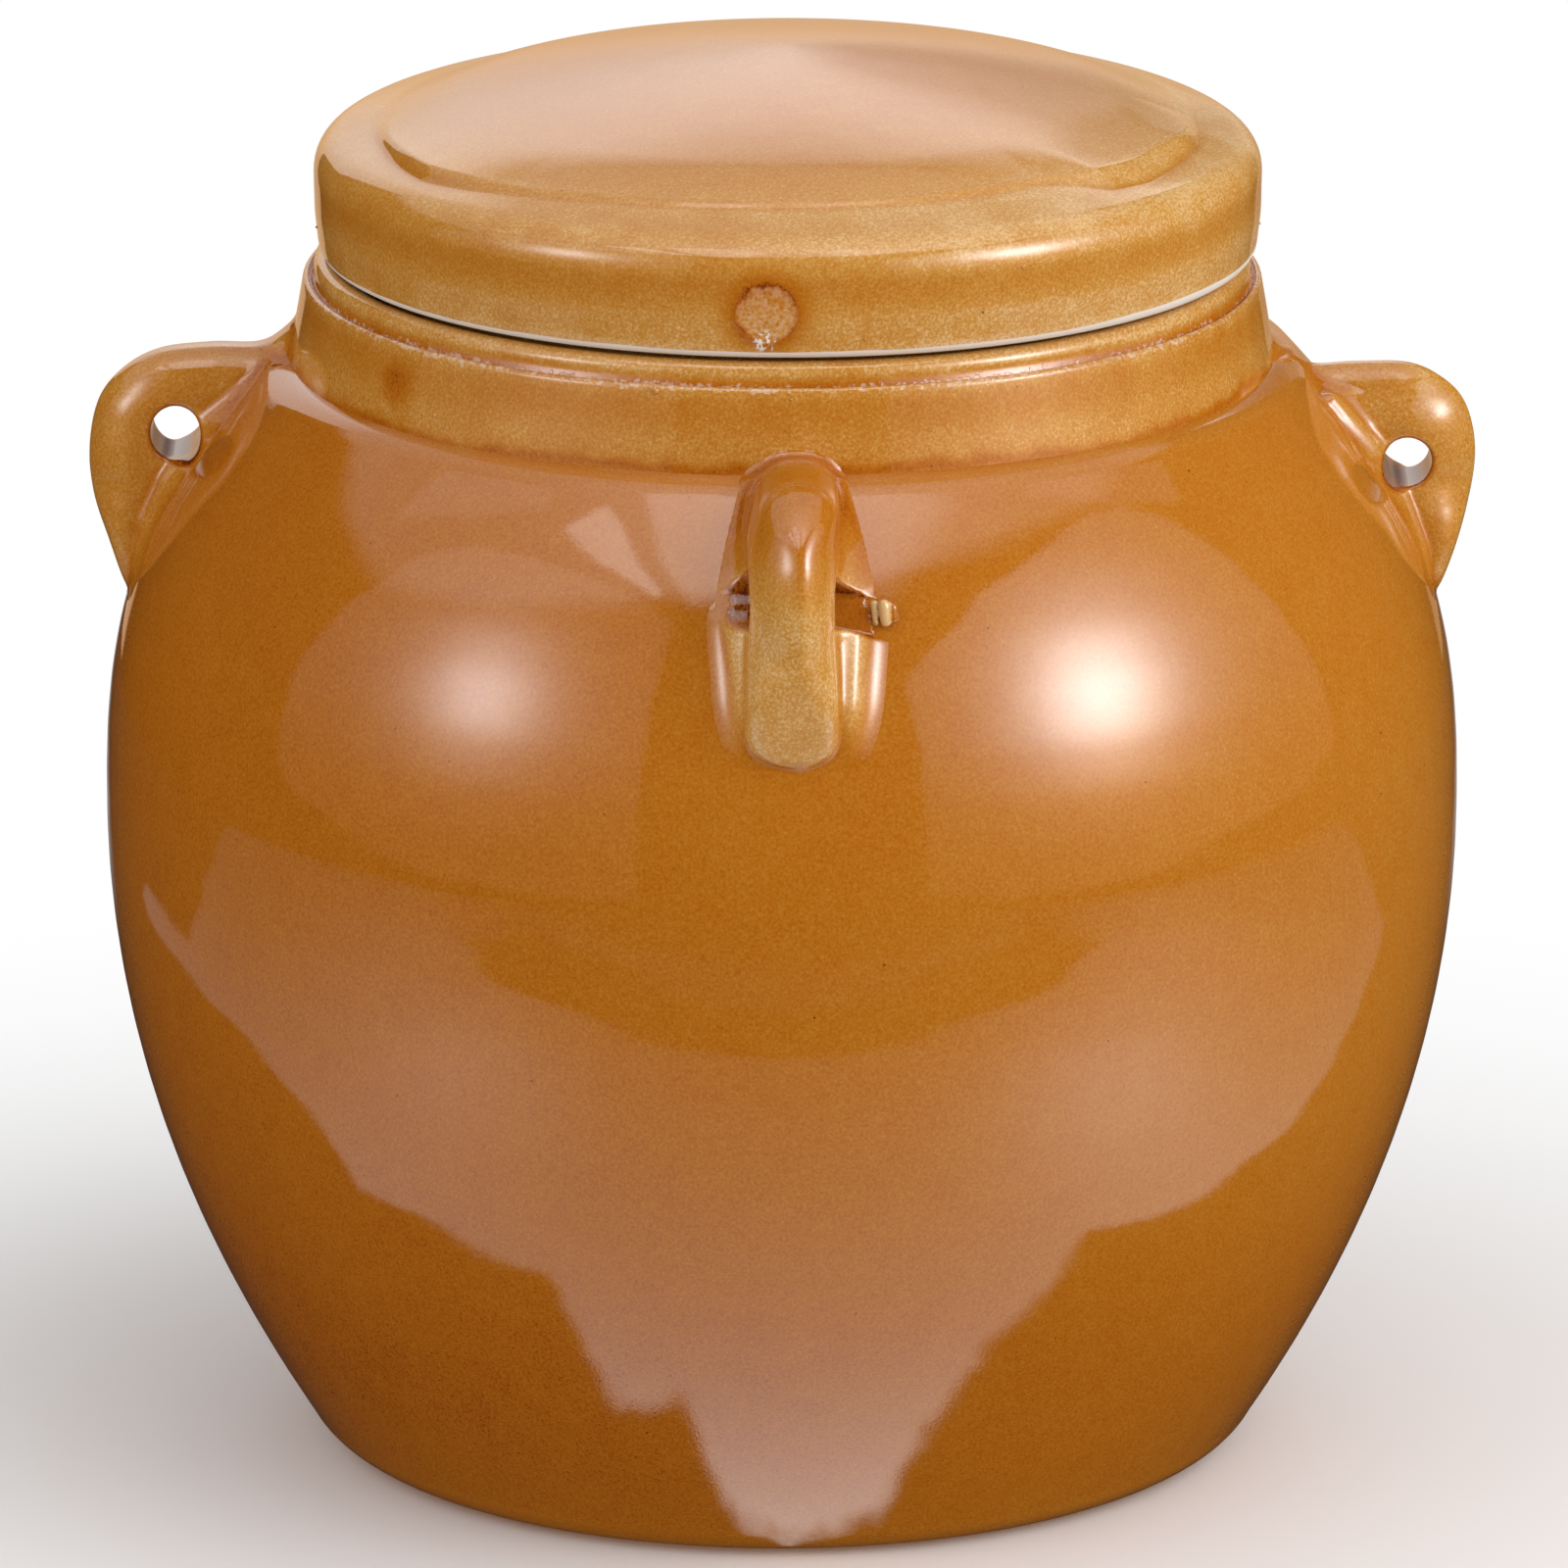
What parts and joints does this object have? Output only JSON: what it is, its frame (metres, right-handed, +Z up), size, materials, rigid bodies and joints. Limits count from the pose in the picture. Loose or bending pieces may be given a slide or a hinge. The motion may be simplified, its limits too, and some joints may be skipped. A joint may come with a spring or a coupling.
{
  "type": "water seal pickle jar",
  "caption": "Bellied glazed stoneware jar with lugs round its shoulder, a water moat round its mouth, and a lift-off lid whose flange stands in the moat.",
  "frame": {"origin": "centre of the base on the standing plane, on the jar's axis", "axes": "+Z up along the jar's axis, the front ear points along -Y, the side ears along -X and +X"},
  "size_m": [0.2048, 0.2048, 0.21],
  "materials": {
    "amber_glaze": "glossy amber glaze over stoneware, mottled, with fine dark specks",
    "honey_glaze": "glossy thinner honey glaze over stoneware, bare clay on the lid's lower edge"
  },
  "bodies": {
    "jar": {"jar_body": "amber_glaze", "inner_neck": "honey_glaze", "moat_collar": "honey_glaze", "ear_left": "amber_glaze", "ear_right": "amber_glaze", "ear_front": "amber_glaze", "ear_back": "amber_glaze"},
    "lid": {"lid_cap": "honey_glaze", "lid_flange": "honey_glaze"}
  },
  "joints": [
    {"name": "lid_lift", "type": "slide", "parent": "jar", "child": "lid", "axis": [0, 0, 1], "range_m": [0, 0.12]}
  ]
}
